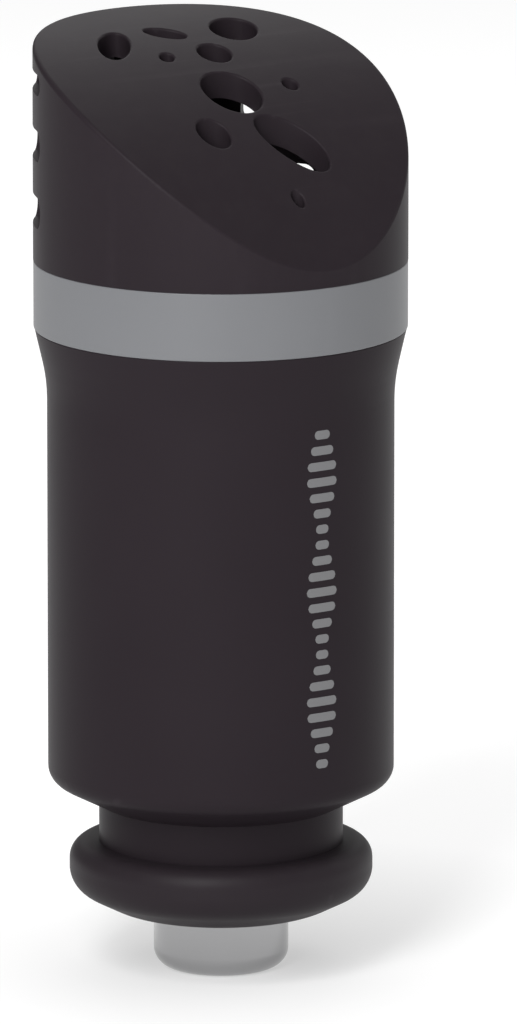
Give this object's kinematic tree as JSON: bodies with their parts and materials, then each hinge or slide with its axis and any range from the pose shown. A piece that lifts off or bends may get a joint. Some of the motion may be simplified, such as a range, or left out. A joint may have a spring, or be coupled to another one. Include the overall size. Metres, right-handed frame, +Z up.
{
  "type": "vented sensor module",
  "caption": "Upright sensor module: hollow slanted head with bubble-like holes and rear vents, grey collar, round barrel, narrow neck, rounded foot ring and metal contact tip.",
  "frame": {"origin": "centre of the contact tip's flat end, at the bottom of the object", "axes": "+Z up along the barrel's axis; -Y is the low side of the slanted head, +Y the tall side with the vents"},
  "size_m": [0.04, 0.04, 0.1016],
  "materials": {
    "shell_black": "matte",
    "foot_black": "satin",
    "collar_grey": "matte",
    "tip_metal": "satin",
    "spring_steel": "satin",
    "seal_rubber": "matte",
    "cage_plastic": "matte",
    "cell_sleeve": "gloss",
    "contact_metal": "satin",
    "lead_red": "matte",
    "board_green": "satin",
    "chip_black": "matte",
    "deck_black": "matte",
    "screw_steel": "satin",
    "can_metal": "satin",
    "filter_white": "matte"
  },
  "bodies": {
    "barrel": {"barrel": "shell_black", "foot_ring": "foot_black", "foot_seal": "seal_rubber", "tip_spring": "spring_steel", "spring_seat": "contact_metal", "tip_lead": "lead_red", "cell_cage": "cage_plastic", "cell_rear": "cell_sleeve", "cell_left": "cell_sleeve", "cell_right": "cell_sleeve", "cell_springs": "spring_steel", "cell_pads": "contact_metal", "main_board": "board_green", "controller_chip": "chip_black", "passive_parts": "chip_black", "deck": "deck_black", "deck_screws": "screw_steel", "sensor_can": "can_metal", "sensor_filter": "filter_white"},
    "collar": {"collar_ring": "collar_grey"},
    "head": {"head_shell": "shell_black", "head_seal": "seal_rubber"},
    "tip": {"contact_tip": "tip_metal"}
  },
  "joints": [
    {"name": "head_rise", "type": "slide", "parent": "barrel", "child": "collar", "axis": [0, 0, 1], "range_m": [0, 0.00675]},
    {"name": "head_turn", "type": "hinge", "parent": "collar", "child": "head", "pos_m": [0, 0, 0.0774], "axis": [0, 0, 1], "range_deg": [0, 270.1]},
    {"name": "tip_press", "type": "slide", "parent": "barrel", "child": "tip", "axis": [0, 0, 1], "range_m": [0, 0.0015], "stiffness_N_per_m": 1500, "springref_m": -0.003, "deforming": ["tip_spring"]}
  ],
  "couplings": [
    {"joint": "head_turn", "follows": "head_rise", "rad_per_m": 698.13}
  ]
}
